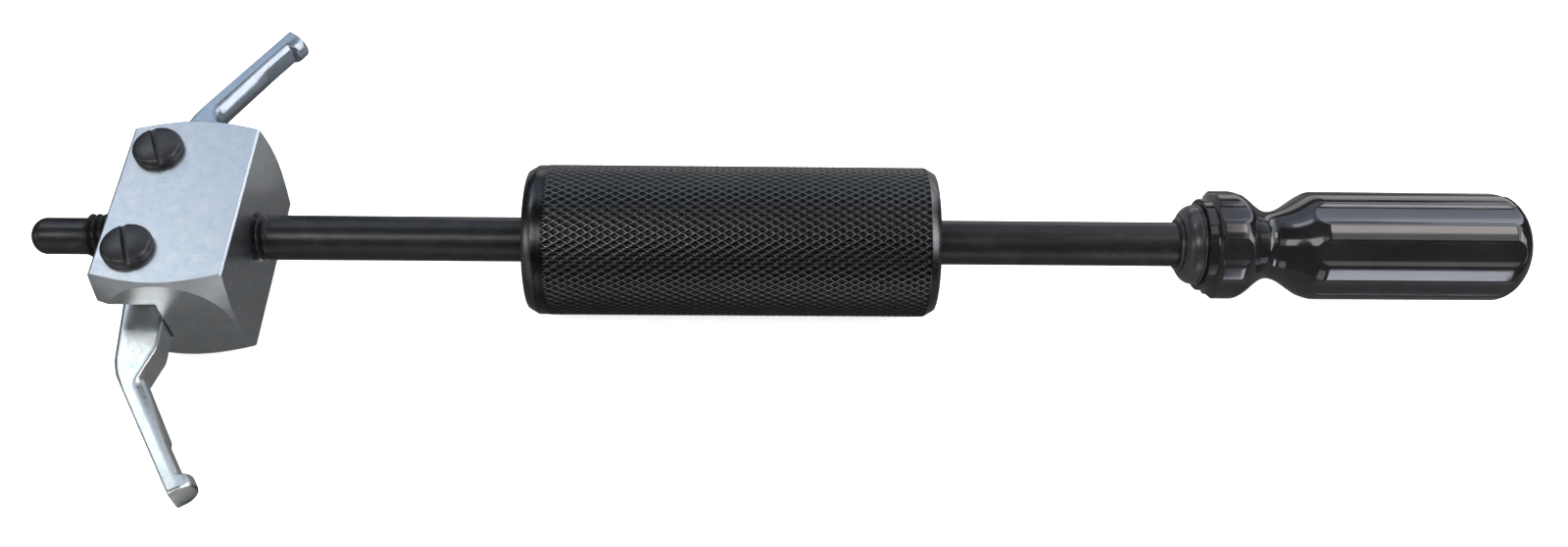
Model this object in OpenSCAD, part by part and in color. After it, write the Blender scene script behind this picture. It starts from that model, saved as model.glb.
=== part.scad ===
// Slide hammer puller for small inside bearings: a square steel block carries two
// swinging jaws, a threaded rod passes through it, and a sliding weight strikes a
// stop collar in front of a fluted handle.
// X runs along the rod from its nose to the handle, Y along the line of the two
// jaw pivots, Z up along the pivot screws. X is zero where the nose's dome starts.

/* [Rod] */
// Diameter of the rod and of its thread
rod_d = 12.7; // [11:0.1:15]
// Diameter of the plain nose that spreads the jaws
nose_d = 10.4; // [8:0.1:10.8]
// Straight length of the nose, from its dome to the thread
nose_len = 11.4; // [8:0.1:30]
// Height of the domed end of the nose
nose_dome = 4.1; // [1:0.1:5]
// Length of the threaded stretch
thread_len = 51.8; // [45:0.1:80]
// Threaded length that stands out in front of the block
thread_ahead = 12.4; // [6:0.1:14]
// Diameter of the tang inside the handle
tang_d = 9; // [6:0.1:10]
// Length of the tang inside the handle
tang_len = 62; // [30:1:80]

/* [Jaw block] */
// Side of the square bar, along the rod and across the flats
block_side = 35; // [33:0.1:42]
// Length of the bar, across its two turned ends
block_height = 57; // [54:0.1:66]
// Diameter of the flat that is left on each turned end
end_flat_d = 32.8; // [24:0.1:33]
// Slope of the turned ends
end_slope = 22.5; // [15:0.5:30]
// Width of the broken long edges
edge_break = 0.6; // [0.2:0.1:1.2]
// Width of the jaw slot
slot_w = 16; // [12:0.1:18]
// Depth of the jaw slot from the front face
slot_depth = 15.5; // [15.5:0.1:20]
// Distance of each pivot from the rod axis
pivot_offset = 17; // [16:0.1:19]
// Distance of the pivots from the front face
pivot_setback = 8.8; // [8:0.1:8.8]
// Countersink of the threaded bore, beyond its radius
bore_sink = 1; // [0.2:0.1:2]

/* [Jaws] */
// Width of a jaw, along its pivot
jaw_w = 8.6; // [6:0.1:11]
// Radius of the pivot boss, which is also the distance of the stop face
boss_r = 6.5; // [5.5:0.1:6.6]
// Angle of the leg from the rod at rest, when the jaw leans on its stop
rest_angle = 58; // [50:0.1:65]
// Length from the pivot to the end of the foot, along the leg
jaw_reach = 64.7; // [60:0.1:80]
// Distance of the pivot from the leg's flat inner side
leg_offset = 17; // [16:0.1:19]
// Thickness of the leg at the knee
leg_t = 5.9; // [5.2:0.1:6.5]
// Thickness of the leg where it meets the foot
leg_tip_t = 5.3; // [4.8:0.1:5.9]
// Height of the leg's flat sides below its rounded back
side_h = 4.8; // [3:0.1:5.2]
// Thickness of the foot
foot_t = 7; // [6:0.1:8]
// Length of the foot, along the leg
foot_len = 4.8; // [3:0.1:8]
// Length of the flat milled in front of the foot
seat_len = 12.3; // [5:0.1:14]
// Depth of that flat below the leg's rounded back
seat_cut = 0.3; // [0.2:0.1:1.3]

/* [Pivot screws] */
// Diameter of the screw's shoulder and thread
screw_d = 7.94; // [6:0.01:8.4]
// Diameter of the slotted head
head_d = 13.5; // [11:0.1:15]
// Height of the head at its rim
head_rim_h = 2.9; // [2:0.1:5]
// Height of the dome on the head
head_dome = 0.8; // [0.4:0.1:2]
// Width of the screwdriver slot
driver_w = 1.9; // [1:0.1:2.5]
// Depth of the screwdriver slot
driver_depth = 2.1; // [1:0.1:3]
// Turn of the upper screw's slot from the line of the pivots
upper_turn = 23; // [0:1:180]
// Turn of the lower screw's slot from the line of the pivots
lower_turn = 19; // [0:1:180]
// Distance of the screw's end below the far flat
screw_recess = 0.8; // [0.3:0.1:3]

/* [Slide hammer] */
// Outer diameter over the knurl
hammer_d = 42.8; // [36:0.1:50]
// Length of the hammer
hammer_len = 115; // [90:1:130]
// Gap between the block and the hammer at rest
hammer_gap = 77; // [60:1:90]
// Travel from rest to the stop collar
hammer_travel = 70; // [40:0.1:90]
// Length of the end chamfers
hammer_chamfer_l = 2.9; // [1:0.1:5]
// Drop of the end chamfers
hammer_chamfer_h = 1.6; // [0.5:0.1:4]
// Length of the plain band behind the front chamfer
band_len = 2.6; // [1:0.1:6]
// Drop of the plain band below the knurl
band_drop = 0.15; // [0.05:0.05:0.5]

/* [Stop collar] */
// Diameter of the first, thin lip on the rod
lip_d = 15.8; // [14.5:0.1:18]
// Length of the lip
lip_len = 0.9; // [0.5:0.1:3]
// Diameter of the front bead
front_bead_d = 22.9; // [21:0.1:25]
// Length of the front bead
front_bead_len = 4.5; // [4.5:0.1:6]
// Diameter of the rear bead
rear_bead_d = 23.2; // [18.5:0.1:26]
// Length of the rear bead
rear_bead_len = 0.9; // [0.9:0.1:4]
// Radius of the front bead's leading side
bead_lead = 4; // [1:0.1:4]
// Radius of the beads' other sides
bead_round = 0.45; // [0.2:0.05:0.45]

/* [Handle] */
// Diameter over the handle's lands
grip_d = 31.2; // [28:0.1:36]
// Diameter of the ring at the handle's mouth
mouth_d = 26.3; // [22:0.1:28]
// Length of the ring at the handle's mouth
mouth_len = 2.4; // [1:0.1:6]
// Length of the slope from the ring to the guard
guard_rise = 1.1; // [0.5:0.1:4]
// Length of the guard
guard_len = 5.2; // [3:0.1:9]
// Length of the waist from the guard to its thinnest place
waist_front = 11.1; // [7:0.1:16]
// Length of the waist from its thinnest place to the grip
waist_rear = 13.4; // [8:0.1:18]
// Diameter of the waist at its thinnest place
waist_d = 19.3; // [16:0.1:24]
// Length of the straight grip
grip_len = 52; // [40:0.5:80]
// Length of the domed butt
butt_len = 10; // [5:0.1:15]
// Number of flutes
flutes = 8; // [6:1:10]
// Radius of each flute's hollow
flute_r = 7.9; // [5:0.1:12]
// Depth of the flutes
flute_depth = 1.2; // [0.5:0.1:2]
// Turn of the first flute
flute_turn = 0; // [0:0.5:45]

/* [Hidden] */

// Radial clearance of the running fits, and the gap between faces that only pass
fit = 0.05;
face_gap = 0.1;
// How far a cutter runs past the face that it opens
overrun = 1;

round_fn = 96;
arc_steps = 10;

rod_r = rod_d / 2;
block_x = nose_len + thread_ahead;
pivot_x = block_x + pivot_setback;
block_end = block_x + block_side;
hammer_x = block_end + hammer_gap;
collar_x = hammer_x + hammer_len + hammer_travel;
collar_len = lip_len + front_bead_len + rear_bead_len;
handle_x = collar_x + collar_len + face_gap;
bend = 90 - rest_angle;
// The jaws rest on the lower wall of the slot, below the rod's axis
jaw_drop = (slot_w - jaw_w) / 2 - face_gap;

// Points on an arc about a centre, from one angle to another
function arc(centre, r, from, to, steps = arc_steps) =
    [for (i = [0 : steps]) let (t = from + (to - from) * i / steps)
        centre + r * [cos(t), sin(t)]];

// Rounds the corner b between a and c with radius r, where corner = [x, y, r]
function unit(v) = v / norm(v);
function rounded(a, b, c) =
    let (p = [b.x, b.y], u = unit([a.x, a.y] - p), v = unit([c.x, c.y] - p),
         half = acos(u * v) / 2, reach = b.z / tan(half), centre = p + unit(u + v) * b.z / sin(half),
         s = p + u * reach - centre, e = p + v * reach - centre,
         from = atan2(s.y, s.x), turn = atan2(e.y, e.x) - from,
         sweep = turn > 180 ? turn - 360 : turn < -180 ? turn + 360 : turn)
    b.z == 0 ? [p] : arc(centre, b.z, from, from + sweep);
function outline(corners) =
    let (n = len(corners))
    [for (i = [0 : n - 1]) each rounded(corners[(i + n - 1) % n], corners[i], corners[(i + 1) % n])];

// A round bar along X
module bar(x0, x1, r) translate([x0, 0, 0]) rotate([0, 90, 0]) cylinder(h = x1 - x0, r = r, $fn = round_fn);

// A body turned about X, from a profile of [x, radius] points
module turned(profile)
    rotate([0, 90, 0]) rotate_extrude($fn = round_fn)
        polygon([for (p = profile) [p.y, p.x]]);

// The bar's two ends, turned about Y: a flat, then a cone out to the corners
module turned_ends() {
    corner_r = block_side / sqrt(2) + overrun;
    flat_r = end_flat_d / 2;
    drop = (corner_r - flat_r) * tan(end_slope);
    half = block_height / 2;
    rotate([90, 0, 0]) rotate_extrude($fn = round_fn)
        polygon([[0, -half], [flat_r, -half], [corner_r, drop - half],
                 [corner_r, half - drop], [flat_r, half], [0, half]]);
}

module jaw_block() {
    half = block_side / 2;
    break_half = half - edge_break;
    color("lightsteelblue")
    difference() {
        translate([block_x + half, 0, 0]) intersection() {
            rotate([90, 0, 0]) linear_extrude(block_height, center = true)
                polygon([[-half, -break_half], [-break_half, -half], [break_half, -half],
                         [half, -break_half], [half, break_half], [break_half, half],
                         [-break_half, half], [-half, break_half]]);
            turned_ends();
        }
        // bore that the rod screws through
        bar(block_x - overrun, block_end + overrun, rod_r + fit);
        translate([block_end - bore_sink, 0, 0]) rotate([0, 90, 0])
            cylinder(h = bore_sink * 2, r1 = rod_r + fit, r2 = rod_r + fit + bore_sink * 2, $fn = round_fn);
        // slot for the jaws, open at the front and at both ends
        translate([block_x - overrun, -block_height / 2 - overrun, -slot_w / 2])
            cube([slot_depth + overrun, block_height + 2 * overrun, slot_w]);
        // holes for the pivot screws
        for (side = [-1, 1])
            translate([pivot_x, side * pivot_offset, -half - overrun])
                cylinder(h = block_side + 2 * overrun, r = screw_d / 2 + fit, $fn = round_fn);
    }
}

// A jaw with its pivot at the origin and its leg along X, flat inner side towards +Y
module jaw() {
    back_y = leg_offset - leg_t;
    tip_back_y = leg_offset - leg_tip_t;
    foot_back_y = leg_offset - foot_t;
    foot_x = jaw_reach - foot_len;
    seat_x = foot_x - seat_len;
    // radius that carries the rounded back over the flat sides
    crown = (pow(jaw_w / 2, 2) + pow(leg_t - side_h, 2)) / (2 * (leg_t - side_h));
    foot_crown = (pow(jaw_w / 2, 2) + pow(foot_t - side_h, 2)) / (2 * (foot_t - side_h));
    knee_x = leg_offset * 1.6;
    difference() {
        union() {
            // root, knee and leg
            intersection() {
                translate([0, 0, -jaw_w / 2]) linear_extrude(jaw_w)
                    polygon(outline(jaw_corners(back_y, tip_back_y, foot_back_y, foot_x, seat_x)));
                union() {
                    translate([-boss_r - overrun, -jaw_reach, -jaw_w])
                        cube([knee_x + boss_r + overrun, 2 * jaw_reach, 2 * jaw_w]);
                    translate([0, back_y + crown, 0]) bar(knee_x - crown, foot_x, crown);
                    translate([0, foot_back_y + foot_crown, 0]) bar(foot_x - overrun / 2, jaw_reach, foot_crown);
                }
            }
            cylinder(h = jaw_w, r = boss_r, center = true, $fn = round_fn);
        }
        cylinder(h = jaw_w + overrun, r = screw_d / 2 + fit, center = true, $fn = round_fn);
    }
}

// Corners of the jaw's side view, each with its radius. The root is drawn square to
// the block at rest, so its corners are turned by the bend between root and leg.
root_shares = [[1.85, 0.97, 0.6], [3.15, 1.08, 0.6], [0.2, -1, 0], [3.77, -0.55, 0.6]];
function root_point(i) =
    let (s = root_shares[i] * boss_r)
    [s.x * cos(bend) + s.y * sin(bend), s.x * sin(bend) - s.y * cos(bend), s.z];
function jaw_corners(back_y, tip_back_y, foot_back_y, foot_x, seat_x) =
    let (seat_y = tip_back_y + seat_cut,
         seat_back_y = back_y + (tip_back_y - back_y) * (seat_x - leg_offset) / (foot_x - leg_offset),
         knee_back_x = leg_offset * 1.54, knee_front_x = leg_offset * 1.36)
    [[0, -boss_r * cos(bend), 0] + [boss_r * sin(bend), 0, 0],
     root_point(0),
     root_point(1),
     [knee_back_x, back_y, leg_t * 0.7],
     [seat_x, seat_back_y, 0],
     [seat_x + seat_cut, seat_y, 0],
     [foot_x, seat_y, 0],
     [foot_x, foot_back_y, foot_t / 9],
     [jaw_reach, foot_back_y, foot_t / 7],
     [jaw_reach, leg_offset, foot_t / 12],
     [knee_front_x, leg_offset, leg_t],
     root_point(3),
     root_point(2)];

module upper_jaw()
    color("gainsboro") translate([pivot_x, pivot_offset, -jaw_drop]) rotate([0, 0, rest_angle]) jaw();

module lower_jaw()
    color("gainsboro") translate([pivot_x, -pivot_offset, -jaw_drop]) rotate([180, 0, -rest_angle]) jaw();

// A spacer sleeve on a pivot screw, from the upper wall of the slot down to the jaw
module spacer() {
    low = jaw_w / 2 - jaw_drop + face_gap;
    difference() {
        translate([0, 0, low]) cylinder(h = slot_w / 2 - low, r = boss_r, $fn = round_fn);
        cylinder(h = slot_w, r = screw_d / 2 + fit, $fn = round_fn);
    }
}

module upper_jaw_spacer()
    color("darkgray") translate([pivot_x, pivot_offset, 0]) spacer();

module lower_jaw_spacer()
    color("darkgray") translate([pivot_x, -pivot_offset, 0]) spacer();

// A shoulder screw with a slotted, slightly domed head that seats on the upper flat
module pivot_screw(turn) {
    head_r = head_d / 2;
    top = head_rim_h + head_dome;
    dome_r = (pow(head_r, 2) + pow(head_dome, 2)) / (2 * head_dome);
    dome_half = asin(head_r / dome_r);
    shank = block_side - screw_recess;
    point = screw_d / 8;
    difference() {
        rotate_extrude($fn = round_fn)
            polygon(concat([[0, -shank], [screw_d / 2 - point, -shank], [screw_d / 2, point - shank],
                            [screw_d / 2, 0], [head_r, 0]],
                           arc([0, top - dome_r], dome_r, 90 - dome_half, 90)));
        rotate([0, 0, turn]) translate([-driver_w / 2, -head_r - overrun, top - driver_depth])
            cube([driver_w, head_d + 2 * overrun, driver_depth + overrun]);
    }
}

module upper_pivot_screw()
    color("dimgray") translate([pivot_x, pivot_offset, block_side / 2]) pivot_screw(upper_turn);

module lower_pivot_screw()
    color("dimgray") translate([pivot_x, -pivot_offset, block_side / 2]) pivot_screw(lower_turn);

module puller_rod() {
    nose_r = nose_d / 2;
    thread_run_out = rod_r - nose_r;
    shaft_end = handle_x;
    tang_break = tang_d / 8;
    color("darkslategray")
    turned(concat(
        [for (i = [0 : arc_steps]) let (t = 90 * i / arc_steps)
            [-nose_dome * cos(t), nose_r * sin(t)]],
        [[nose_len, nose_r], [nose_len + thread_run_out, rod_r], [shaft_end, rod_r],
         [shaft_end, tang_d / 2], [shaft_end + tang_len - tang_break, tang_d / 2],
         [shaft_end + tang_len, tang_d / 2 - tang_break], [shaft_end + tang_len, 0]]));
}

module slide_hammer() {
    r = hammer_d / 2;
    band_r = r - band_drop;
    rim_r = band_r - hammer_chamfer_h;
    bore_r = rod_r + fit;
    mouth = bore_sink;
    knurl_x = hammer_chamfer_l + band_len;
    // the rear end repeats the front one without the plain band
    front = [[mouth, bore_r], [0, bore_r + mouth], [0, rim_r], [hammer_chamfer_l, band_r]];
    rear = [for (i = [len(front) - 1 : -1 : 0]) [hammer_len - front[i].x, front[i].y]];
    color("black") translate([hammer_x, 0, 0])
        turned(concat(front, [[knurl_x, band_r], [knurl_x, r], [hammer_len - hammer_chamfer_l, r]], rear));
}

// One rounded bead of a turned profile, from x0 over a length, up to a radius
function bead(x0, length, r, lead) =
    concat(arc([x0 + lead, r - lead], lead, 180, 90),
           arc([x0 + length - bead_round, r - bead_round], bead_round, 90, 0));

module stop_collar() {
    bore_r = rod_r + fit;
    front_x = lip_len;
    rear_x = lip_len + front_bead_len;
    color("black") translate([collar_x, 0, 0])
        turned(concat([[0, bore_r], [0, lip_d / 2 - lip_len / 2], [lip_len / 2, lip_d / 2]],
                      bead(front_x, front_bead_len, front_bead_d / 2, bead_lead),
                      bead(rear_x, rear_bead_len, rear_bead_d / 2, bead_round),
                      [[collar_len, bore_r]]));
}

module handle() {
    r = grip_d / 2;
    waist_r = waist_d / 2;
    guard_x = mouth_len + guard_rise;
    waist_x = guard_x + guard_len;
    thin_x = waist_x + waist_front;
    grip_x = thin_x + waist_rear;
    butt_x = grip_x + grip_len;
    total = butt_x + butt_len;
    // the waist falls and rises on half a wave each way
    function wave(x0, x1, r0, r1) = [for (i = [0 : arc_steps]) let (s = (1 - cos(180 * i / arc_steps)) / 2)
        [x0 + (x1 - x0) * i / arc_steps, r0 + (r1 - r0) * s]];
    color("black") translate([handle_x, 0, 0]) difference() {
        turned(concat([[0, tang_d / 2 + fit], [0, mouth_d / 2], [mouth_len, mouth_d / 2], [guard_x, r]],
                      wave(waist_x, thin_x, r, waist_r),
                      wave(thin_x, grip_x, waist_r, r),
                      [for (i = [0 : arc_steps]) let (t = 90 * i / arc_steps)
                          [butt_x + butt_len * sin(t), r * cos(t)]],
                      [[tang_len + fit, 0], [tang_len + fit, tang_d / 2 + fit]]));
        for (i = [0 : flutes - 1]) rotate([flute_turn + 360 * i / flutes, 0, 0])
            translate([0, 0, r - flute_depth + flute_r])
                bar(mouth_len, total + overrun, flute_r);
    }
}

jaw_block();
upper_jaw();
lower_jaw();
upper_pivot_screw();
lower_pivot_screw();
upper_jaw_spacer();
lower_jaw_spacer();
puller_rod();
slide_hammer();
stop_collar();
handle();
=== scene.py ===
import math

import bmesh
import bpy
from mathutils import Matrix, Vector


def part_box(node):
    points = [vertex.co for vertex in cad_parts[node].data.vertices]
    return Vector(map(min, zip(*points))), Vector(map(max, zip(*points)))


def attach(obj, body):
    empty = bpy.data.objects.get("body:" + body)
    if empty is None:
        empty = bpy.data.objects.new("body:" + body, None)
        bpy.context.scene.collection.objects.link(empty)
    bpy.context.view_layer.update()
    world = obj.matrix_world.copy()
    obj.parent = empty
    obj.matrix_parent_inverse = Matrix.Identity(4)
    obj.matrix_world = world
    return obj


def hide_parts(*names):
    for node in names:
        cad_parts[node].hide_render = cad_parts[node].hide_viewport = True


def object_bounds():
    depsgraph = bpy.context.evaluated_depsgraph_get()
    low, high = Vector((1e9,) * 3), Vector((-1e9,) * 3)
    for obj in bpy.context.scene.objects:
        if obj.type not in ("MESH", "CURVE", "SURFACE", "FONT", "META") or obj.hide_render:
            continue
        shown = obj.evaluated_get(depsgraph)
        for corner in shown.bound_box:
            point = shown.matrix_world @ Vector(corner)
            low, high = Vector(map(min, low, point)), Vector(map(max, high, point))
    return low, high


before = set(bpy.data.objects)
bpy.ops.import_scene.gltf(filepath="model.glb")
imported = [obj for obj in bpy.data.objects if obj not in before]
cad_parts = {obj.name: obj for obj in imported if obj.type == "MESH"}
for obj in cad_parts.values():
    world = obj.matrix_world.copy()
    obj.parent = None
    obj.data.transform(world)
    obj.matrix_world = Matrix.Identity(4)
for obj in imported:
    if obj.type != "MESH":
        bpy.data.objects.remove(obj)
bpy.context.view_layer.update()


# Jaw block. A length of square steel bar, its two ends faced and coned in the lathe,
# slotted across the front and bored for the rod, then zinc plated. The plating shows fine
# marks that run along the rod's way, and a faint blue and straw bloom.
MM = 0.001
BLOCK_EDGE = 0.4 * MM
BLOCK_GRAIN = (0.25, 1.0, 1.0)
PLATING_MARKS = 0.02 * MM


def new_material(name):
    material = bpy.data.materials.new(name)
    material.use_nodes = True
    tree = material.node_tree
    tree.nodes.clear()
    output = tree.nodes.new("ShaderNodeOutputMaterial")
    shader = tree.nodes.new("ShaderNodeBsdfPrincipled")
    tree.links.new(shader.outputs["BSDF"], output.inputs["Surface"])
    return material, tree, shader


def place_texture(tree, stretch=(1.0, 1.0, 1.0)):
    """Places a pattern on the piece. A share below 1 draws it out along that axis."""
    coords = tree.nodes.new("ShaderNodeTexCoord")
    mapping = tree.nodes.new("ShaderNodeMapping")
    mapping.inputs["Scale"].default_value = stretch
    tree.links.new(coords.outputs["Object"], mapping.inputs["Vector"])
    return mapping.outputs["Vector"]


def noise(tree, place, scale, detail, rough):
    """A cloudy pattern from 0 to 1, with scale features to the metre."""
    node = tree.nodes.new("ShaderNodeTexNoise")
    node.inputs["Scale"].default_value = scale
    node.inputs["Detail"].default_value = detail
    node.inputs["Roughness"].default_value = rough
    tree.links.new(place, node.inputs["Vector"])
    return node.outputs["Fac"]


def ramp(tree, value, stops):
    """Turns a value into a colour by way of stops, each a place and a colour."""
    node = tree.nodes.new("ShaderNodeValToRGB")
    band = node.color_ramp
    while len(band.elements) < len(stops):
        band.elements.new(0.5)
    for element, (at, colour) in zip(band.elements, stops):
        element.position = at
        element.color = (*colour, 1.0)
    tree.links.new(value, node.inputs["Fac"])
    return node.outputs["Color"]


def spread(tree, value, low, high):
    """Spreads the middle of a noise, where most of it lies, from low to high."""
    node = tree.nodes.new("ShaderNodeMapRange")
    node.inputs["From Min"].default_value = 0.3
    node.inputs["From Max"].default_value = 0.7
    node.inputs["To Min"].default_value = low
    node.inputs["To Max"].default_value = high
    tree.links.new(value, node.inputs["Value"])
    return node.outputs["Result"]


def raise_surface(tree, shader, height, depth, strength, edge=0.0):
    """Raises fine marks by depth, over edges that are broken by a radius of edge."""
    bump = tree.nodes.new("ShaderNodeBump")
    bump.inputs["Distance"].default_value = depth
    bump.inputs["Strength"].default_value = strength
    tree.links.new(height, bump.inputs["Height"])
    if edge:
        rounded = tree.nodes.new("ShaderNodeBevel")
        rounded.samples = 6
        rounded.inputs["Radius"].default_value = edge
        tree.links.new(rounded.outputs["Normal"], bump.inputs["Normal"])
    tree.links.new(bump.outputs["Normal"], shader.inputs["Normal"])


def zinc_plating(name, grain, edge, painted_light_tint=(1.0, 1.0, 1.0)):
    """Bright zinc over steel: grain sets the way its marks run, and painted_light_tint tints the
    bloom, which paints shade into the upper jaw and light into the lower one.
    """
    blue_to_straw = [(0.36, (0.50, 0.55, 0.58)),
                     (0.48, (0.56, 0.59, 0.61)),
                     (0.56, (0.59, 0.60, 0.61)),
                     (0.68, (0.66, 0.64, 0.66))]
    material, tree, shader = new_material(name)
    shader.inputs["Metallic"].default_value = 1.0
    bloom = noise(tree, place_texture(tree), scale=330.0, detail=6.0, rough=0.72)
    stops = [(at, tuple(a * b for a, b in zip(tint, painted_light_tint))) for at, tint in blue_to_straw]
    tree.links.new(ramp(tree, bloom, stops), shader.inputs["Base Color"])
    marks = noise(tree, place_texture(tree, grain), scale=1500.0, detail=6.0, rough=0.7)
    tree.links.new(spread(tree, marks, low=0.26, high=0.40), shader.inputs["Roughness"])
    raise_surface(tree, shader, marks, PLATING_MARKS, strength=0.22, edge=edge)
    return material


def dress(node_name, material):
    """Gives a piece that stays as the CAD has it its finish."""
    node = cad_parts[node_name]
    node.data.materials.clear()
    node.data.materials.append(material)


block_zinc = zinc_plating("block_zinc", BLOCK_GRAIN, BLOCK_EDGE)
dress("jaw_block", block_zinc)


# Spacer sleeves. Two short lengths of zinc plated tube on the pivot screws, which keep the
# jaws on the lower wall of the slot. The tube is drawn, so its marks run along it.
SLEEVE_EDGE = 0.3 * MM
SLEEVE_GRAIN = (1.0, 1.0, 0.05)

sleeve_zinc = zinc_plating("sleeve_zinc", SLEEVE_GRAIN, SLEEVE_EDGE)
dress("upper_jaw_spacer", sleeve_zinc)
dress("lower_jaw_spacer", sleeve_zinc)


# Pivot screws. Two slotted cheese head screws of blackened steel, turned from bar. They go
# through the block's near wall, the sleeve and the jaw, and are screwed into the far wall.
# The head has a low dome and a well rounded edge, and the black is worn soft on it.
SCREW_HEAD_R = 6.75 * MM
SCREW_HEAD_EDGE_R = 1.5 * MM
SCREW_HEAD_HEIGHT = 3.7 * MM
SCREW_DOME_SLOPE = math.radians(16)
SCREW_UNDER_EDGE = 0.25 * MM
SCREW_SHANK_R = 3.95 * MM
SCREW_POINT = 0.6 * MM
SCREW_CENTRE_R = 0.2 * MM
SCREW_EDGE = 0.25 * MM
SCREW_GRAIN = (1.0, 1.0, 0.2)
DRIVER_SLOT_WIDTH = 1.5 * MM
DRIVER_SLOT_DEPTH = 2.0 * MM
DRIVER_SLOT_OVERRUN = 1.25 * MM
UPPER_SLOT_TURN = 23
LOWER_SLOT_TURN = 19
OXIDE_MARKS = 0.03 * MM
CREASE = math.radians(38)
ROUND_SIDES = 96


def black_oxide(name, grain, edge, grey, rough):
    """Blackened steel of one grey, a little cloudy, with its roughness between two values."""
    material, tree, shader = new_material(name)
    shader.inputs["Metallic"].default_value = 0.55
    shader.inputs["Specular IOR Level"].default_value = 0.8
    cloud = noise(tree, place_texture(tree), scale=160.0, detail=6.0, rough=0.66)
    dull_to_rubbed = [(0.30, (grey * 0.70, grey * 0.70, grey * 0.75)),
                      (0.55, (grey, grey, grey * 1.04)),
                      (0.78, (grey * 1.9, grey * 1.75, grey * 1.7))]
    tree.links.new(ramp(tree, cloud, dull_to_rubbed), shader.inputs["Base Color"])
    marks = noise(tree, place_texture(tree, grain), scale=1400.0, detail=5.0, rough=0.6)
    tree.links.new(spread(tree, marks, *rough), shader.inputs["Roughness"])
    raise_surface(tree, shader, marks, OXIDE_MARKS, strength=0.18, edge=edge)
    return material


def mesh_piece(name, points, faces, material, crease=CREASE):
    """A smooth piece from points and faces, with an edge kept sharp where it is a crease."""
    mesh = bpy.data.meshes.new(name)
    mesh.from_pydata(points, [], faces)
    mesh.materials.append(material)
    shape = bmesh.new()
    shape.from_mesh(mesh)
    bmesh.ops.recalc_face_normals(shape, faces=shape.faces)
    shape.to_mesh(mesh)
    shape.free()
    piece = bpy.data.objects.new(name, mesh)
    bpy.context.collection.objects.link(piece)
    mesh.polygons.foreach_set("use_smooth", [True] * len(mesh.polygons))
    mesh.set_sharp_from_angle(angle=crease)
    mesh.update()
    return piece


def ring_piece(name, rings, material, crease=CREASE):
    """A piece from rings of points, as many in each, joined in order and closed at both ends."""
    count = len(rings[0])
    points = [point for ring in rings for point in ring]
    faces = []
    for r in range(len(rings) - 1):
        for k in range(count):
            j = (k + 1) % count
            faces.append((r * count + k, (r + 1) * count + k, (r + 1) * count + j, r * count + j))
    faces.append(tuple(range(count)))
    faces.append(tuple(range(len(points) - count, len(points)))[::-1])
    return mesh_piece(name, points, faces, material, crease)


def box_middle(node_name):
    low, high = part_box(node_name)
    return [(a + b) / 2 for a, b in zip(low, high)]


def cut_groove(piece, plan, low, high, groove_shade):
    """Cuts a straight sided groove with four plan corners out of a piece, from low to high.
    The cutter is thrown away and the cut stays in the piece's mesh, its faces in the cutter's
    material, which paints shade into the groove."""
    points = [(x, y, z) for z in (low, high) for x, y in plan]
    sides = [(i, (i + 1) % 4, (i + 1) % 4 + 4, i + 4) for i in range(4)]
    cutter = mesh_piece("groove_cutter", points, [(3, 2, 1, 0), (4, 5, 6, 7), *sides], groove_shade)
    cut = piece.modifiers.new("groove", "BOOLEAN")
    cut.operation = "DIFFERENCE"
    cut.solver = "EXACT"
    cut.object = cutter
    graph = bpy.context.evaluated_depsgraph_get()
    finished = bpy.data.meshes.new_from_object(piece.evaluated_get(graph))
    piece.modifiers.clear()
    piece.data = finished
    bpy.data.objects.remove(cutter)
    finished.set_sharp_from_angle(angle=CREASE)


def screw_profile(bottom, top):
    """The outline of a screw from the middle of its point to near the middle of its dome."""
    seat = top - SCREW_HEAD_HEIGHT
    edge_middle = SCREW_HEAD_R - SCREW_HEAD_EDGE_R
    dome_r = edge_middle / math.sin(SCREW_DOME_SLOPE) + SCREW_HEAD_EDGE_R
    dome_middle = top - dome_r
    edge_z = dome_middle + (dome_r - SCREW_HEAD_EDGE_R) * math.cos(SCREW_DOME_SLOPE)
    profile = [(SCREW_CENTRE_R, bottom),
               (SCREW_SHANK_R - SCREW_POINT, bottom),
               (SCREW_SHANK_R, bottom + SCREW_POINT),
               (SCREW_SHANK_R, seat),
               (SCREW_HEAD_R - SCREW_UNDER_EDGE, seat),
               (SCREW_HEAD_R, seat + SCREW_UNDER_EDGE),
               (SCREW_HEAD_R, edge_z)]
    steps = 8
    for i in range(1, steps + 1):
        angle = (math.pi / 2 - SCREW_DOME_SLOPE) * i / steps
        profile.append((edge_middle + SCREW_HEAD_EDGE_R * math.cos(angle),
                        edge_z + SCREW_HEAD_EDGE_R * math.sin(angle)))
    for i in range(steps - 1, 0, -1):
        angle = SCREW_DOME_SLOPE * i / steps
        profile.append((dome_r * math.sin(angle), dome_middle + dome_r * math.cos(angle)))
    return profile


def build_screw(name, node_name, slot_turn):
    low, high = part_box(node_name)
    cx, cy, _ = box_middle(node_name)
    turns = [2 * math.pi * k / ROUND_SIDES for k in range(ROUND_SIDES)]
    rings = [[(cx + r * math.cos(turn), cy + r * math.sin(turn), z) for turn in turns]
             for r, z in screw_profile(low[2], high[2])]
    screw = ring_piece(name, rings, screw_black)
    turn = math.radians(slot_turn)
    reach = SCREW_HEAD_R + DRIVER_SLOT_OVERRUN
    half = DRIVER_SLOT_WIDTH / 2
    plan = [(cx - a * reach * math.sin(turn) + b * half * math.cos(turn),
             cy + a * reach * math.cos(turn) + b * half * math.sin(turn))
            for a, b in ((-1, -1), (-1, 1), (1, 1), (1, -1))]
    cut_groove(screw, plan, high[2] - DRIVER_SLOT_DEPTH, high[2] + DRIVER_SLOT_OVERRUN, slot_painted_shade)
    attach(screw, "jaw_block")
    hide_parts(node_name)


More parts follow.
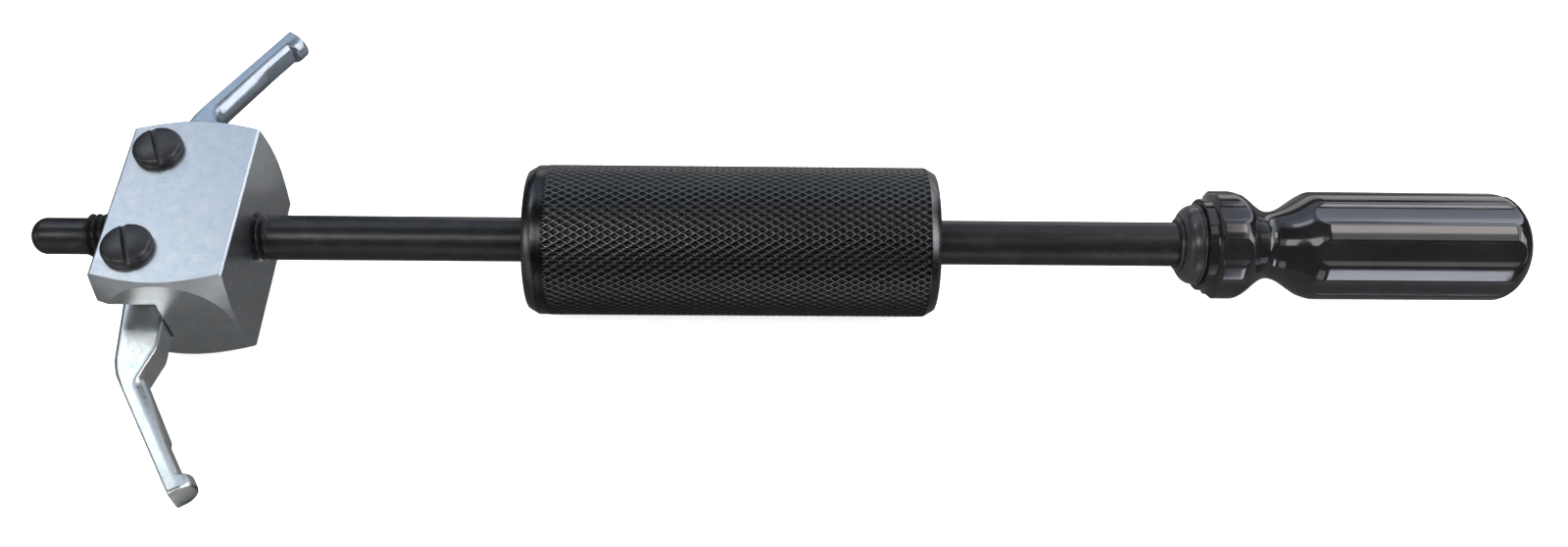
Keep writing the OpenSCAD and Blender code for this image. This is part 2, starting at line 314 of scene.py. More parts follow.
screw_black = black_oxide("screw_black", SCREW_GRAIN, SCREW_EDGE, grey=0.030, rough=(0.26, 0.42))
# the driver slots' faces are near black: painted shade in the deep slots
slot_painted_shade = black_oxide("slot_painted_shade", (1.0, 1.0, 1.0), 0.0, grey=0.004, rough=(0.7, 0.9))
build_screw("upper_slotted_screw", "upper_pivot_screw", UPPER_SLOT_TURN)
build_screw("lower_slotted_screw", "lower_pivot_screw", LOWER_SLOT_TURN)


# Jaws. Two like jaws, forged and zinc plated: a flat root with a pivot boss, a knee, and a
# straight leg with a flat inner side and a rounded back. A seat is milled into the back
# in front of the foot, so that the foot catches behind a bearing's ring.
LEG_ANGLE_AT_REST = 58.0
JAW_BEND = math.radians(90 - LEG_ANGLE_AT_REST)
JAW_LEVEL = box_middle("upper_jaw")[2]
JAW_WIDTH = 8.6 * MM
JAW_REACH = 64.7 * MM
INNER_SIDE = 17.0 * MM
JAW_GRAIN = (0.5, 0.5, 0.5)

# Painted shade and painted light: the same zinc is painted bluer and darker on the upper jaw, and
# brighter on the lower one
UPPER_JAW_PAINTED_SHADE = (0.72, 0.79, 0.86)
LOWER_JAW_PAINTED_LIGHT = (1.45, 1.44, 1.36)

# The boss, and the root from its start beside the pivot
BOSS_R = 6.5 * MM
BOSS_HOLE_R = 4.02 * MM
BOSS_EDGE = 0.6 * MM
ROOT_START = 5.2 * MM
ROOT_FRONT = 6.0 * MM
ROOT_BACK = 6.4 * MM

# The knee, and the leg from where it runs straight
KNEE_IN = 23.1 * MM
KNEE_OUT = 26.2 * MM
CROWN_START = 24.5 * MM
CROWN_FULL = 29.5 * MM
LEG_START = 30.0 * MM
LEG_THICK = 6.1 * MM
LEG_THICK_AT_SEAT = 5.6 * MM
SIDE_HEIGHT = 3.2 * MM
LEAST_CROWN = 0.3 * MM

# The milled seat, and the foot behind it
FOOT_LENGTH = 4.8 * MM
FOOT_START = JAW_REACH - FOOT_LENGTH
SEAT_START = FOOT_START - 12.3 * MM
SEAT_THICK = 4.75 * MM
SEAT_FILLET = 0.15 * MM
SEAT_UNCUT_THICK = 5.5 * MM


def rounded_path(corners):
    """A line through corners (x, y, radius), each corner with a radius rounded by it."""
    fine = 7
    path = []
    for i, (x, y, radius) in enumerate(corners):
        if radius == 0:
            path.append((x, y))
            continue
        ways = []
        for j in (i - 1, i + 1):
            dx, dy = corners[j][0] - x, corners[j][1] - y
            length = math.hypot(dx, dy)
            ways.append((dx / length, dy / length))
        (ux, uy), (vx, vy) = ways
        half = math.acos(max(-1.0, min(1.0, ux * vx + uy * vy))) / 2
        reach = radius / math.tan(half)
        start = (x + ux * reach, y + uy * reach)
        end = (x + vx * reach, y + vy * reach)
        for k in range(fine + 1):
            t = k / fine
            # a quadratic through the corner is close to an arc at these blunt angles
            path.append(((1 - t) ** 2 * start[0] + 2 * t * (1 - t) * x + t * t * end[0],
                         (1 - t) ** 2 * start[1] + 2 * t * (1 - t) * y + t * t * end[1]))
    return path


def spaced(path, count):
    """Points at even steps along a line."""
    lengths = [math.dist(p, q) for p, q in zip(path, path[1:])]
    total = sum(lengths)
    points, i, gone = [], 0, 0.0
    for k in range(count):
        want = total * k / (count - 1)
        while i < len(lengths) - 1 and gone + lengths[i] < want:
            gone += lengths[i]
            i += 1
        share = (want - gone) / lengths[i]
        points.append(tuple(a + (b - a) * share for a, b in zip(path[i], path[i + 1])))
    return points


def smooth_step(a, b, x):
    """Goes smoothly from 0 at a to 1 at b."""
    s = min(max((x - a) / (b - a), 0.0), 1.0)
    return s * s * (3 - 2 * s)


def jaw_section(thickness, crown_share, cut):
    """The jaw's section: flat inner side, straight sides, and a back that goes from flat to
    crowned with crown_share. cut mills the back flat. Points are (depth, height)."""
    flat_steps, side_steps, crown_steps, softenings = 20, 16, 36, 5
    half = JAW_WIDTH / 2
    side = min(SIDE_HEIGHT, thickness - LEAST_CROWN)
    crown = (half ** 2 + (thickness - side) ** 2) / (2 * (thickness - side))
    edge = side * crown_share + thickness * (1 - crown_share)
    section = [(0.0, half * (2 * i / flat_steps - 1)) for i in range(flat_steps)]
    section += [(edge * i / side_steps, half) for i in range(side_steps)]
    for i in range(crown_steps):
        z = half * (1 - 2 * i / crown_steps)
        back = thickness - crown + math.sqrt(max(crown ** 2 - z ** 2, 0.0))
        section.append((thickness + (back - thickness) * crown_share, z))
    section += [(edge * (1 - i / side_steps), -half) for i in range(side_steps)]
    if cut is not None:
        section = [(min(depth, cut), z) for depth, z in section]
    # each round takes every point halfway to its neighbours, which softens the corners
    for _ in range(softenings):
        before, after = section[-1:] + section[:-1], section[1:] + section[:1]
        section = [tuple((a + 2 * b + c) / 4 for a, b, c in zip(*three))
                   for three in zip(before, section, after)]
    return section


def from_root(out, back):
    """From the root's own directions, out from the rod and back along it, to the leg's."""
    return (out * math.cos(JAW_BEND) + back * math.sin(JAW_BEND),
            out * math.sin(JAW_BEND) - back * math.cos(JAW_BEND))


def root_lines():
    """The front and the back line of the root and the knee, out from the boss to the leg."""
    front_bend = (*from_root(24.5 * MM, -3.58 * MM), 4.2 * MM)
    back_waist = (*from_root(12.0 * MM, 6.3 * MM), 5.0 * MM)
    back_swell = (*from_root(20.5 * MM, 7.0 * MM), 5.5 * MM)
    outer_side = INNER_SIDE - LEG_THICK
    front = rounded_path([(*from_root(ROOT_START, -ROOT_FRONT), 0), front_bend,
                          (KNEE_IN, INNER_SIDE, 5.5 * MM), (LEG_START, INNER_SIDE, 0)])
    back = rounded_path([(*from_root(ROOT_START, ROOT_BACK), 0), back_waist, back_swell,
                         (KNEE_OUT, outer_side, 5.0 * MM), (LEG_START, outer_side, 0)])
    return front, back


def jaw_stations():
    """The jaw's sections in order: front point, back point, crown share, cut and size."""
    root_count, leg_count = 30, 5
    stations = []
    front, back = root_lines()
    for f, b in zip(spaced(front, root_count), spaced(back, root_count)):
        crown_share = smooth_step(CROWN_START, CROWN_FULL, (f[0] + b[0]) / 2)
        stations.append((f, b, crown_share, None, 1.0))

    def along(x, thick, cut=None, size=1.0):
        stations.append(((x, INNER_SIDE), (x, INNER_SIDE - thick), 1.0, cut, size))

    for i in range(1, leg_count + 1):
        share = i / leg_count
        along(LEG_START + (SEAT_START - LEG_START) * share,
              LEG_THICK + (LEG_THICK_AT_SEAT - LEG_THICK) * share)
    # how far into the seat, in millimetres
    for x in (0.9, 1.3, 4.0, 8.0, 11.7):
        along(SEAT_START + x * MM, SEAT_UNCUT_THICK, SEAT_THICK)
    along(FOOT_START - 0.25 * MM, SEAT_UNCUT_THICK, SEAT_THICK + SEAT_FILLET)
    # how far into the foot, and the thickness there, in millimetres
    for x, thick in ((0.0, 5.7), (0.15, 6.3), (0.5, 6.75), (1.0, 6.98),
                     (2.4, 7.0), (3.6, 6.98), (4.2, 6.9)):
        along(FOOT_START + x * MM, thick * MM)
    # how far before the end, the thickness there, and the size that the rounded end leaves
    for x, thick, size in ((0.40, 6.8, 0.985), (0.20, 6.7, 0.96), (0.14, 6.6, 0.92)):
        along(JAW_REACH - x * MM, thick * MM, size=size)
    return stations


def build_jaw(name, node_name, pivot_name, material):
    pivot = box_middle(pivot_name)
    side = 1 if pivot[1] > 0 else -1
    turn = math.pi / 2 - JAW_BEND
    points, faces = [], []

    def place(x, y, z):
        points.append((pivot[0] + x * math.cos(turn) - y * math.sin(turn),
                       pivot[1] + side * (x * math.sin(turn) + y * math.cos(turn)), JAW_LEVEL + z))

    def face(*corners):
        faces.append(corners if side > 0 else corners[::-1])

    stations = jaw_stations()
    for front, back, crown_share, cut, size in stations:
        thickness = math.dist(front, back)
        ux, uy = (back[0] - front[0]) / thickness, (back[1] - front[1]) / thickness
        section = jaw_section(thickness, crown_share, cut)
        middle = thickness / 2
        for depth, z in section:
            d = middle + (depth - middle) * size
            place(front[0] + ux * d, front[1] + uy * d, z * size)
    count = len(section)
    for r in range(len(stations) - 1):
        for k in range(count):
            a, b = r * count + k, r * count + (k + 1) % count
            face(a, b, b + count, a + count)
    face(*range(count - 1, -1, -1))
    face(*range((len(stations) - 1) * count, len(stations) * count))

    # the boss is a ring round the pivot screw, with its outer edges softened
    boss_sides = 72
    base = len(points)
    half = JAW_WIDTH / 2
    soft = BOSS_EDGE * 0.3
    upper = [(BOSS_R, half - BOSS_EDGE), (BOSS_R - soft, half - soft),
             (BOSS_R - BOSS_EDGE, half), (BOSS_HOLE_R, half)]
    profile = [(r, -z) for r, z in reversed(upper)] + upper
    for k in range(boss_sides):
        angle = 2 * math.pi * k / boss_sides
        for r, z in profile:
            place(r * math.cos(angle), r * math.sin(angle), z)
    n = len(profile)
    for k in range(boss_sides):
        here, after = base + k * n, base + ((k + 1) % boss_sides) * n
        for j in range(n):
            i = (j + 1) % n
            face(here + j, after + j, after + i, here + i)
    jaw = mesh_piece(name, points, faces, material)
    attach(jaw, node_name)
    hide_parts(node_name)


upper_zinc_painted_shade = zinc_plating("upper_jaw_zinc_painted_shade", JAW_GRAIN, 0.0, UPPER_JAW_PAINTED_SHADE)
lower_zinc_painted_light = zinc_plating("lower_jaw_zinc_painted_light", JAW_GRAIN, 0.0, LOWER_JAW_PAINTED_LIGHT)
build_jaw("upper_jaw_forging", "upper_jaw", "upper_pivot_screw", upper_zinc_painted_shade)
build_jaw("lower_jaw_forging", "lower_jaw", "lower_pivot_screw", lower_zinc_painted_light)


# Rod. Half inch bright bar, blackened: a plain domed nose, a stretch of 13 per inch thread
# through the block, a plain shaft for the sliding weight, and a tang moulded into the handle.
# The thread is cut, so its crests keep the bar's diameter and run out at both ends.
ROD_R = 6.35 * MM
ROD_GRAIN = (0.10, 1.0, 1.0)
NOSE_R = 5.2 * MM
NOSE_DOME = 4.1 * MM
NOSE_TIP_R = 0.3 * MM
TANG_R = 4.5 * MM
TANG_END_R = 3.4 * MM
TANG_BREAK = 1.1 * MM
THREAD_PITCH = 25.4 / 13 * MM
THREAD_START = 11.4 * MM
THREAD_END = 63.2 * MM
THREAD_LEAD_IN = 1.1 * MM
THREAD_RUN_OUT = 2.2 * MM
THREAD_GONE = 0.2 * MM
THREAD_CREST_SHARE = 0.12
THREAD_FLANK_SHARE = 0.80


def thread_cut(x, turn):
    """Depth of the V thread below its crest, from 0 to 1, at x and at a share of a turn."""
    share = ((x - THREAD_START) / THREAD_PITCH - turn) % 1.0
    below_crest = (abs(share - 0.5) * 2 - THREAD_CREST_SHARE) / THREAD_FLANK_SHARE
    return min(max(below_crest, 0.0), 1.0)


def round_ring(x, radius, count):
    """A ring of points round the rod's axis."""
    turns = [2 * math.pi * k / count for k in range(count)]
    return [(x, radius * math.cos(turn), radius * math.sin(turn)) for turn in turns]


def thread_rings():
    """Rings of the threaded stretch, with steps fine enough to show the V's flanks."""
    steps = int((THREAD_END - THREAD_START) / (THREAD_PITCH / 14))
    rings = []
    for i in range(steps + 1):
        x = THREAD_START + (THREAD_END - THREAD_START) * i / steps
        rise = smooth_step(THREAD_START, THREAD_START + THREAD_LEAD_IN, x)
        run_out = smooth_step(THREAD_END - THREAD_RUN_OUT, THREAD_END - THREAD_GONE, x)
        ring = []
        for k in range(ROUND_SIDES):
            depth = (ROD_R - NOSE_R) * thread_cut(x, k / ROUND_SIDES) * (1 - run_out)
            radius = NOSE_R + (ROD_R - NOSE_R - depth) * rise
            angle = 2 * math.pi * k / ROUND_SIDES
            ring.append((x, radius * math.cos(angle), radius * math.sin(angle)))
        rings.append(ring)
    return rings


def build_rod():
    dome_steps = 14
    profile = [(-NOSE_DOME, NOSE_TIP_R)]
    for i in range(1, dome_steps + 1):
        angle = math.pi / 2 * i / dome_steps
        profile.append((-NOSE_DOME * math.cos(angle), NOSE_R * math.sin(angle)))
    profile.append((THREAD_START / 2, NOSE_R))
    tang_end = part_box("puller_rod")[1][0]
    shaft_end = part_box("handle")[0][0]
    # the two rings along the shaft only keep its faces from being long
    shaft = [(THREAD_END + 0.4 * MM, ROD_R), (150 * MM, ROD_R), (240 * MM, ROD_R),
             (shaft_end - 0.02 * MM, ROD_R), (shaft_end, TANG_R),
             (tang_end - TANG_BREAK, TANG_R), (tang_end, TANG_END_R)]
    rings = [round_ring(x, radius, ROUND_SIDES) for x, radius in profile]
    rings += thread_rings()
    rings += [round_ring(x, radius, ROUND_SIDES) for x, radius in shaft]
    return ring_piece("rod_with_thread", rings, rod_black)


rod_black = black_oxide("rod_black", ROD_GRAIN, 0.0, grey=0.018, rough=(0.26, 0.38))
rod = build_rod()
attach(rod, "rod_and_handle")
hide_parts("puller_rod")


# Sliding weight. A 2 1/2 pound steel cylinder, drilled through, with chamfered and smooth
# turned ends and a diamond knurl rolled over its grip, then blackened. Its crests are painted
# bright, as wear from hands and cloths and as a painted highlight; its grooves stay dark.
HAMMER_BORE_R = 6.40 * MM
HAMMER_BAND_DROP = 0.15 * MM
HAMMER_CHAMFER = 1.6 * MM
HAMMER_FACE_R = 12.0 * MM
HAMMER_MARKS = 0.02 * MM
KNURL_STARTS = 64
KNURL_FINE = 6
KNURL_PITCH = 3.65 * MM
KNURL_DEPTH = 0.30 * MM
KNURL_FRONT = 5.5 * MM
KNURL_REAR = 3.0 * MM
KNURL_RIDGE_SHARE = 0.62
KNURL_END_DROP = 0.12 * MM
KNURL_FADE_IN = 0.9 * MM
KNURL_FADE_OUT = 0.5 * MM
KNURL_OVERRUN = 0.3 * MM
KNURL_CREASE = math.radians(75)


def knurl_ridge(place):
    """Height of one set of ridges, from 0 to 1, at a place counted in fine steps."""
    away = (place % KNURL_FINE) / KNURL_FINE
    away = 2 * min(away, 1 - away)
    return max(0.0, 1 - away / KNURL_RIDGE_SHARE) ** 1.5


def build_hammer():
    low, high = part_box("slide_hammer")
    front, rear = low[0], high[0]
    outer = min(high[1], high[2])
    plain = outer - HAMMER_BAND_DROP
    rim = plain - HAMMER_CHAMFER
    left, right = front + KNURL_FRONT, rear - KNURL_REAR
    count = KNURL_STARTS * KNURL_FINE
    rows = 2 * round((right - left) / KNURL_PITCH * KNURL_FINE)
    points, faces, wear_and_sheen = [], [], []

    def join_rings(a, b):
        for k in range(count):
            j = (k + 1) % count
            faces.append((a + k, b + k, b + j, a + j))

    def turned_rings(stations):
        """Turned rings, each joined to the ring before it."""
        for x, radius, rubbed_and_sheen in stations:
            points.extend(round_ring(x, radius, count))
            wear_and_sheen.extend([rubbed_and_sheen] * count)
            if len(points) > count:
                join_rings(len(points) - 2 * count, len(points) - count)

    # an end from its bore to its band: how far in from its face, radius, and wear with painted sheen
    end = [(1.0 * MM, HAMMER_BORE_R, 0.1), (0.0, HAMMER_BORE_R + 1.0 * MM, 0.3),
           (0.0, HAMMER_FACE_R, 0.5), (0.0, rim - 0.35 * MM, 0.6), (0.15 * MM, rim, 0.75),
           (1.4 * MM, rim + 0.75 * MM, 0.65), (2.7 * MM, plain - 0.08 * MM, 0.65)]
    turned_rings([(front + inward, radius, rubbed_and_sheen) for inward, radius, rubbed_and_sheen in end])
    turned_rings([(front + 3.1 * MM, plain, 0.5), (front + 4.2 * MM, plain, 0.45),
                  (left - 0.2 * MM, plain, 0.40)])

    # the knurl's points stand in rows a half step apart, so that its ridges run along edges
    first = len(points)
    for row in range(rows + 1):
        x = left + (right - left) * row / rows
        fade = (smooth_step(0.0, KNURL_FADE_IN, x - left)
                * smooth_step(-KNURL_OVERRUN, KNURL_FADE_OUT, right - x))
        for k in range(count):
            a = knurl_ridge((row + 2 * k + row % 2) // 2)
            b = knurl_ridge((row - 2 * k - row % 2) // 2)
            # where two ridges cross they make a point a little higher than either
            height = 0.85 * max(a, b) + 0.15 * min(a, b)
            radius = outer - KNURL_END_DROP * (1 - fade) - KNURL_DEPTH * (1 - height) * fade
            angle = 2 * math.pi * (k + (row % 2) / 2) / count
            points.append((x, radius * math.cos(angle), radius * math.sin(angle)))
            # the crests' brightness is wear and a painted highlight in one
            wear_and_sheen.append(0.1 + (max(a, b) ** 2 - 0.1) * fade)
    join_rings(first - count, first)
    for row in range(rows - 1):
        here, after = first + row * count, first + (row + 1) * count
        for k in range(count):
            left_k, right_k = ((k - 1) % count, k) if row % 2 == 0 else (k, (k + 1) % count)
            faces.append((here + k, after + right_k, here + 2 * count + k, after + left_k))
    last = first + rows * count
    for k in range(count):
        j = (k + 1) % count
        faces.append((first + k, first + count + k, first + j))
        faces.append((last + k, last + j, last - count + k))

    turned_rings([(right + 0.1 * MM, plain, 0.4)])
    turned_rings([(rear - inward, radius, rubbed_and_sheen) for inward, radius, rubbed_and_sheen in reversed(end)])
    join_rings(len(points) - count, 0)
    piece = mesh_piece("knurled_weight", points, faces, hammer_black, KNURL_CREASE)
    layer = piece.data.attributes.new("wear_and_sheen", "FLOAT", "POINT")
    layer.data.foreach_set("value", wear_and_sheen)
    return piece


def black_with_painted_sheen(name):
    """Blackened steel that goes from dull grooves to bright points with the wear and the painted
    highlight on them.
    """
    groove_to_sheened_point = [(0.20, (0.034, 0.034, 0.034)),
                       (0.62, (0.060, 0.058, 0.057)),
                       (1.0, (0.22, 0.22, 0.22))]
    material, tree, shader = new_material(name)
    shader.inputs["Metallic"].default_value = 1.0
    wear_and_sheen_node = tree.nodes.new("ShaderNodeAttribute")
    wear_and_sheen_node.attribute_name = "wear_and_sheen"
    patch = noise(tree, place_texture(tree), scale=60.0, detail=5.0, rough=0.6)
    mixed = tree.nodes.new("ShaderNodeMath")
    mixed.operation = "MULTIPLY_ADD"
    tree.links.new(patch, mixed.inputs[0])
    mixed.inputs[1].default_value = 0.25
    tree.links.new(wear_and_sheen_node.outputs["Fac"], mixed.inputs[2])
    tree.links.new(ramp(tree, mixed.outputs[0], groove_to_sheened_point), shader.inputs["Base Color"])
    marks = noise(tree, place_texture(tree), scale=1600.0, detail=5.0, rough=0.6)
    tree.links.new(spread(tree, marks, low=0.24, high=0.36), shader.inputs["Roughness"])
    raise_surface(tree, shader, marks, HAMMER_MARKS, strength=0.15)
    return material


hammer_black = black_with_painted_sheen("hammer_black")
hammer = build_hammer()
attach(hammer, "slide_hammer")
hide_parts("slide_hammer")


# Stop collar. A turned and blackened steel ring against the handle: a thin lip, a rounded
# front and a narrow bead. The sliding weight strikes it.
COLLAR_EDGE = 0.3 * MM
COLLAR_GRAIN = (1.0, 1.0, 1.0)

collar_black = black_oxide("collar_black", COLLAR_GRAIN, COLLAR_EDGE, grey=0.045, rough=(0.20, 0.27))
dress("stop_collar", collar_black)


# Handle. A screwdriver handle moulded in glossy black plastic on the rod's tang: a ring at
# the mouth, a guard, a waist, and a grip with eight shallow flutes that also cross the guard.
# Its lands are bright, with fine scratches from use that run along them.
MOUTH_R = 13.15 * MM
MOUTH_LENGTH = 2.4 * MM
MOUTH_HOLE_R = 6.5 * MM
GUARD_RISE = 1.1 * MM
GUARD_LENGTH = 5.2 * MM
WAIST_R = 9.65 * MM
WAIST_FRONT = 11.1 * MM
WAIST_REAR = 13.4 * MM
GRIP_R = 15.6 * MM
BUTT_LENGTH = 10.0 * MM
BUTT_TIP_R = 0.4 * MM
FLUTES = 8
FLUTE_R = 10.7 * MM
FLUTE_DEPTH = 1.1 * MM
FLUTE_SOFT = 0.05 * MM
HANDLE_CREASE = math.radians(75)
HANDLE_SCRATCHES = 0.02 * MM
SCRATCH_GRAIN = (0.15, 1.0, 1.0)


def half_wave(x, xa, xb, ra, rb):
    """A radius that goes on half a wave from ra at xa to rb at xb."""
    return ra + (rb - ra) * (1 - math.cos(math.pi * (x - xa) / (xb - xa))) / 2


def fluted(reach, angle):
    """The handle's radius at an angle, where its body reaches as far as reach."""
    centre = GRIP_R - FLUTE_DEPTH + FLUTE_R
    spacing = 2 * math.pi / FLUTES
    away = (angle + spacing / 2) % spacing - spacing / 2
    inside = FLUTE_R ** 2 - (centre * math.sin(away)) ** 2
    if inside <= 0:
        return reach
    hollow = centre * math.cos(away) - math.sqrt(inside)
    # the smaller of the two, with the corner between them rounded a little
    softened = (hollow + reach - math.hypot(hollow - reach, FLUTE_SOFT)) / 2 + FLUTE_SOFT * 0.2
    return min(reach, softened)


def build_handle():
    low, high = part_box("handle")
    start, end = low[0], high[0]
    guard = MOUTH_LENGTH + GUARD_RISE
    guard_end = guard + GUARD_LENGTH
    waist = guard_end + WAIST_FRONT
    grip = waist + WAIST_REAR
    butt = end - start - BUTT_LENGTH

    def body(x):
        if x <= MOUTH_LENGTH:
            return MOUTH_R
        if x < guard:
            return MOUTH_R + (GRIP_R - MOUTH_R) * (x - MOUTH_LENGTH) / GUARD_RISE
        if x < guard_end:
            return GRIP_R
        if x < waist:
            return half_wave(x, guard_end, waist, GRIP_R, WAIST_R)
        if x < grip:
            return half_wave(x, waist, grip, WAIST_R, GRIP_R)
        if x < butt:
            return GRIP_R
        return GRIP_R * math.sqrt(max(1 - ((x - butt) / BUTT_LENGTH) ** 2, 0.0))

    # close stations where the profile turns, wide ones along the straight grip
    zones = [(0.0, MOUTH_LENGTH, 6), (MOUTH_LENGTH + 0.02 * MM, guard, 10),
             (guard + 0.05 * MM, guard_end, 8), (guard_end + 0.3 * MM, waist, 34),
             (waist + 0.3 * MM, grip, 46), (grip + 0.4 * MM, butt, 26)]
    xs = [xa + (xb - xa) * i / steps for xa, xb, steps in zones for i in range(steps + 1)]
    butt_steps = 24
    xs += [butt + BUTT_LENGTH * math.sin(math.pi / 2 * i / butt_steps) for i in range(1, butt_steps)]
    count = FLUTES * 36
    rings = [round_ring(start, MOUTH_HOLE_R, count)]
    for x in xs:
        reach = body(x)
        ring = []
        for k in range(count):
            angle = 2 * math.pi * k / count
            radius = fluted(reach, angle) if x > MOUTH_LENGTH else reach
            ring.append((start + x, radius * math.cos(angle), radius * math.sin(angle)))
        rings.append(ring)
    rings.append(round_ring(end, BUTT_TIP_R, count))
    return ring_piece("fluted_handle", rings, handle_black, HANDLE_CREASE)


def moulded_black(name):
    """Glossy black plastic, a little hazy, with fine scratches along the handle."""
    hazy = [(0.3, (0.006, 0.006, 0.006)), (0.7, (0.012, 0.012, 0.013))]
    material, tree, shader = new_material(name)
    shader.inputs["Specular IOR Level"].default_value = 0.72
    haze = noise(tree, place_texture(tree), scale=90.0, detail=5.0, rough=0.6)
    tree.links.new(ramp(tree, haze, hazy), shader.inputs["Base Color"])
    scratches = noise(tree, place_texture(tree, SCRATCH_GRAIN), scale=700.0, detail=6.0, rough=0.7)
    tree.links.new(spread(tree, scratches, low=0.07, high=0.16), shader.inputs["Roughness"])
    raise_surface(tree, shader, scratches, HANDLE_SCRATCHES, strength=0.05)
    return material


handle_black = moulded_black("handle_black")
handle = build_handle()
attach(handle, "rod_and_handle")
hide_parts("handle")


# Floor and cards. A plain white table just under the tool, which the tool doesn't mirror.
# In its place it mirrors four dull paper cards: two on the table, one that stands in front
# of the block, and a small one low in front of the lower jaw. Only reflections show them.
FLOOR_GAP = 0.3 * MM
FLOOR_GLOW = 0.5
FLOOR_SIDE = 6.4
FLOOR_CORNER = -3.0
CARD_THICK = 0.1 * MM


def stage_sheet(name, corner, along, across, material):
    """A flat sheet from a corner along two directions."""
    cells = 8
    row = cells + 1
    points = []
    for j in range(row):
        for i in range(row):
            points.append(tuple(c + a * i / cells + b * j / cells
                                for c, a, b in zip(corner, along, across)))
    faces = [(j * row + i, j * row + i + 1, (j + 1) * row + i + 1, (j + 1) * row + i)
             for j in range(cells) for i in range(cells)]
    sheet = mesh_piece(name, points, faces, material)
    return sheet


def paper(name, dark, light, glow=0.0):
    """Matt paper with a faint grain between two greys. With a glow it is lit from within."""
    material, tree, shader = new_material(name)
    shader.inputs["Roughness"].default_value = 0.9
    shader.inputs["Specular IOR Level"].default_value = 0.1
    shader.inputs["Emission Color"].default_value = (1.0, 1.0, 1.0, 1.0)
    shader.inputs["Emission Strength"].default_value = glow
    grain = noise(tree, place_texture(tree), scale=300.0, detail=3.0, rough=0.5)
    stops = [(0.3, (dark, dark, dark)), (0.7, (light, light, light))]
    tree.links.new(ramp(tree, grain, stops), shader.inputs["Base Color"])
    return material


def only_mirrored(card):
    """Keeps a card out of sight and out of the light, so that only reflections show it."""
    card.visible_camera = False
    card.visible_diffuse = False
    card.visible_shadow = False


def lying_card(name, corner, width, depth, material):
    """A card that lies flat, from its near left corner."""
    only_mirrored(stage_sheet(name, corner, (width, 0.0, 0.0), (0.0, depth, 0.0), material))


def standing_card(name, corner, width, height, material):
    """A card that stands up along the rod's way, from its lower left corner."""
    only_mirrored(stage_sheet(name, corner, (width, 0.0, 0.0), (0.0, 0.0, height), material))


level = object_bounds()[0][2] - FLOOR_GAP
table_white = paper("table_white", dark=0.90, light=0.93, glow=FLOOR_GLOW)
floor = stage_sheet("floor", (FLOOR_CORNER, FLOOR_CORNER, level), (FLOOR_SIDE, 0.0, 0.0),
                    (0.0, FLOOR_SIDE, 0.0), table_white)
floor.visible_glossy = False
floor.visible_shadow = False
lying_card("table_card", corner=(-0.25, -0.062, level), width=0.75, depth=0.46,
           material=paper("card_grey", dark=0.055, light=0.07))
lying_card("light_table_card", corner=(0.068, 0.034, level + CARD_THICK), width=0.3, depth=0.2,
           material=paper("card_light_grey", dark=0.16, light=0.20))
standing_card("front_card", corner=(-0.36, -0.22, -0.30), width=0.44, height=0.36,
              material=paper("card_silver", dark=0.20, light=0.24))
standing_card("foot_card", corner=(0.066, -0.140, -0.150), width=0.050, height=0.10,
              material=paper("card_dull", dark=0.12, light=0.14))


# Lights. Seventeen soft boxes in a white room. Most hang over the tool, the others stand low
# in front, at its two ends and behind. They make the bright bands on the metal and the
# handle. The room's own light falls on everything but shows in no reflection.
ROOM_STRENGTH = 1.35


def soft_box(name, place, width, height, glow, aim=None, colour=(1.0, 1.0, 1.0)):
    """A soft box that faces aim, or straight down without one. glow is its brightness."""
    light = bpy.data.lights.new(name, "AREA")
    light.shape = "RECTANGLE"
    light.size = width
    light.size_y = height
    light.energy = glow * math.pi * width * height
    light.color = colour
    lamp = bpy.data.objects.new(name, light)
    bpy.context.collection.objects.link(lamp)
    lamp.location = place
    way = Vector(aim or (place[0], place[1], 0.0)) - Vector(place)
    lamp.rotation_euler = way.to_track_quat("-Z", "Y").to_euler()
    lamp.visible_camera = False


# Over the block and the weight
soft_box("block_ceiling", place=(-0.62, 0.66, 1.0), width=1.15, height=0.5, glow=1.0,
         colour=(0.82, 0.95, 1.12))
soft_box("block_ceiling_far", place=(-0.35, 1.25, 0.92), width=1.7, height=0.7, glow=0.75,
         aim=(-0.35, 0.0, 0.0), colour=(0.78, 0.93, 1.18))
soft_box("weight_ceiling", place=(0.22, 0.66, 1.0), width=0.54, height=0.5, glow=0.55,
         colour=(0.90, 0.96, 1.05))
soft_box("block_lamp", place=(-0.58, 0.50, 0.98), width=0.50, height=0.20, glow=3.0,
         colour=(0.97, 1.0, 1.03))

# Over the handle
soft_box("handle_ceiling", place=(1.15, 0.75, 0.86), width=0.8, height=1.1, glow=2.0,
         aim=(1.15, 0.0, 0.0), colour=(0.84, 0.92, 1.12))
soft_box("middle_ceiling", place=(0.62, 0.75, 0.86), width=0.24, height=1.1, glow=0.7,
         aim=(0.62, 0.0, 0.0), colour=(0.86, 0.93, 1.08))
soft_box("handle_lamp", place=(0.895, 0.0, 1.0), width=0.43, height=0.35, glow=5.0,
         colour=(1.02, 0.94, 0.95))
soft_box("handle_lamp_edge", place=(0.92, -0.38, 1.0), width=0.38, height=0.40, glow=1.2,
         colour=(1.0, 0.97, 0.97))
soft_box("far_lamp", place=(1.6, -0.05, 0.95), width=0.9, height=0.9, glow=2.2,
         colour=(1.02, 0.96, 0.95))

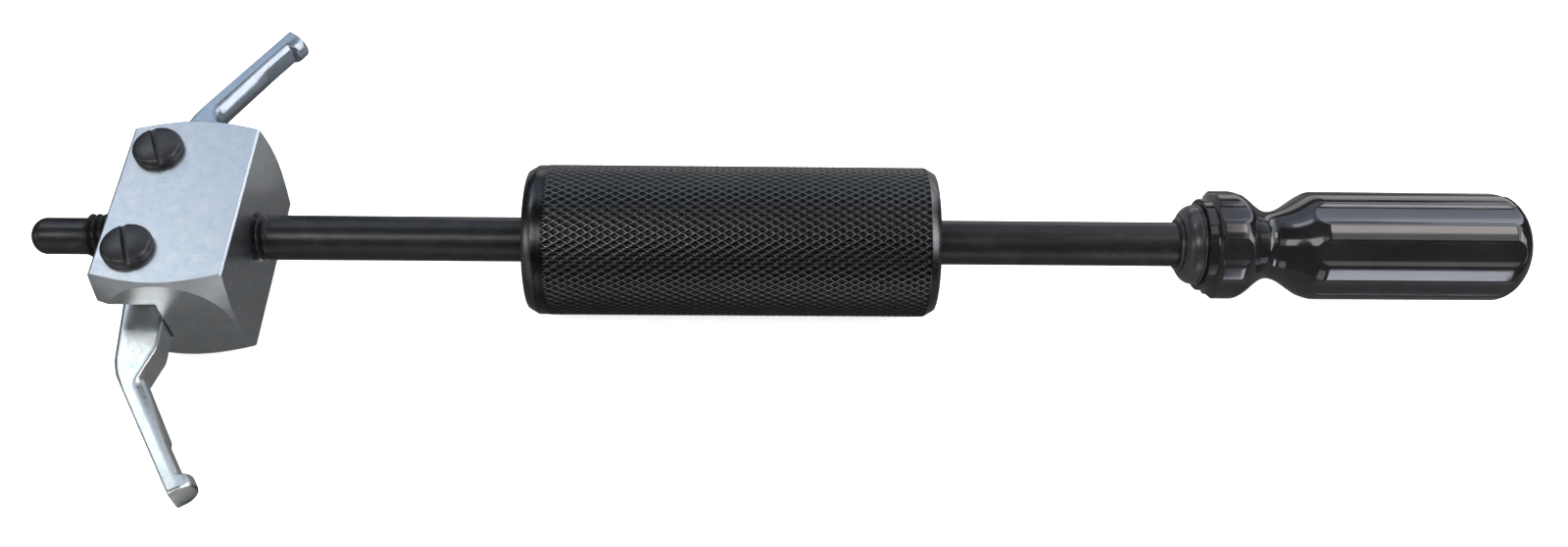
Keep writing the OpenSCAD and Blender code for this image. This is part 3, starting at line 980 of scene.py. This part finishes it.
# Over the near side of the rod and the weight
soft_box("rod_lamp", place=(-0.42, -0.55, 1.0), width=0.74, height=0.42, glow=4.0)
soft_box("weight_lamp", place=(0.20, -0.55, 1.0), width=0.50, height=0.42, glow=1.0)

# Low in front
soft_box("low_front_right", place=(0.95, -1.2, -0.30), width=0.36, height=0.62, glow=5.0,
         aim=(0.95, 0.0, -0.30), colour=(0.92, 0.95, 1.10))
soft_box("low_front_middle", place=(0.20, -1.2, -0.27), width=0.5, height=0.5, glow=1.3,
         aim=(0.20, 0.0, -0.27))

# At the two ends, and behind
soft_box("left_side", place=(-1.0, -0.28, 0.37), width=0.5, height=0.4, glow=2.0,
         aim=(0.13, 0.0, 0.0))
soft_box("right_side", place=(1.35, -0.22, 0.44), width=0.5, height=0.5, glow=3.4,
         aim=(0.25, 0.0, 0.0), colour=(0.94, 0.97, 1.06))
soft_box("right_back", place=(1.0, 0.72, 0.46), width=0.5, height=0.4, glow=0.9,
         aim=(0.04, 0.0, 0.0))
soft_box("far_back", place=(0.9, 1.4, 0.03), width=2.2, height=0.55, glow=1.5,
         aim=(0.9, 0.0, 0.03))

world = bpy.data.worlds.new("white_room")
bpy.context.scene.world = world
world.use_nodes = True
world.node_tree.nodes["Background"].inputs["Color"].default_value = (1.0, 1.0, 1.0, 1.0)
world.node_tree.nodes["Background"].inputs["Strength"].default_value = ROOM_STRENGTH
world.cycles_visibility.glossy = False


# Camera. At the photograph's place: above the rod and to its lower side, with the jaws to
# the left. Its place, its turn in degrees and its lens come from a fit to the photograph.
CAMERA_PLACE = (0.19751, -0.24328, 0.32826)
CAMERA_TILT = 35.2545
CAMERA_ROLL = -1.4336
CAMERA_TURN = -0.5272
FOCAL_LENGTH = 32.756

lens = bpy.data.cameras.new("camera")
lens.sensor_fit = "HORIZONTAL"
lens.sensor_width = 36.0
lens.lens = FOCAL_LENGTH
lens.clip_start = 0.01
camera = bpy.data.objects.new("camera", lens)
camera.location = CAMERA_PLACE
camera.rotation_euler = [math.radians(turn) for turn in (CAMERA_TILT, CAMERA_ROLL, CAMERA_TURN)]
bpy.context.collection.objects.link(camera)
bpy.context.scene.camera = camera
bpy.context.scene.view_settings.view_transform = "Standard"
